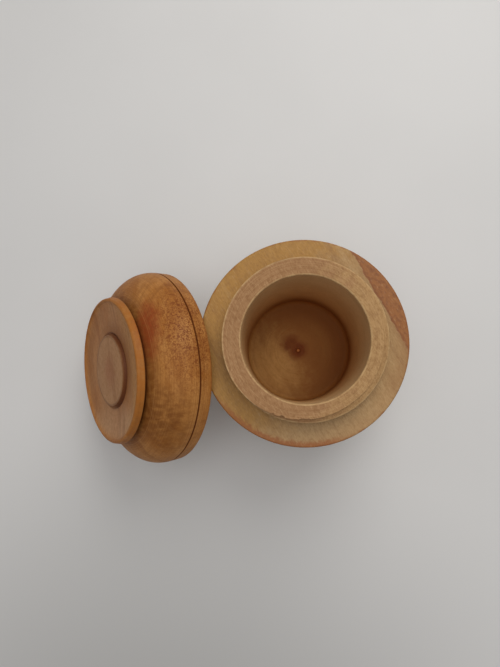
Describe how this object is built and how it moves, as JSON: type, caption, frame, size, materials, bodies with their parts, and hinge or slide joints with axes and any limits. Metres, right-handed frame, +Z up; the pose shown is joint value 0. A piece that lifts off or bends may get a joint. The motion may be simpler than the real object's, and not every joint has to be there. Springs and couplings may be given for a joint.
{
  "type": "shaving mug",
  "caption": "Round turned wooden shaving pot with a deep soap well and a threaded neck; its domed screw lid, with a flat disc on top, leans against the bowl.",
  "frame": {"origin": "centre of the underside of the bowl's foot, on the table", "axes": "+Z up out of the well; -X from the bowl towards the lid, which leans on the shoulder on that side"},
  "size_m": [0.1633, 0.0954, 0.0821],
  "materials": {
    "bowl_wood": "turned pale fruitwood with a thin satin oil finish, bare on the neck and in the well",
    "lid_wood": "turned honey-coloured fruitwood with a satin lacquer and a burnt line near the rim"
  },
  "bodies": {
    "bowl": {"bowl": "bowl_wood"},
    "lid": {"lid": "lid_wood"}
  },
  "joints": [
    {"name": "lid_lift", "type": "slide", "parent": "bowl", "child": "lid", "axis": [0, 0, 1], "range_m": [0, 0.09]}
  ]
}
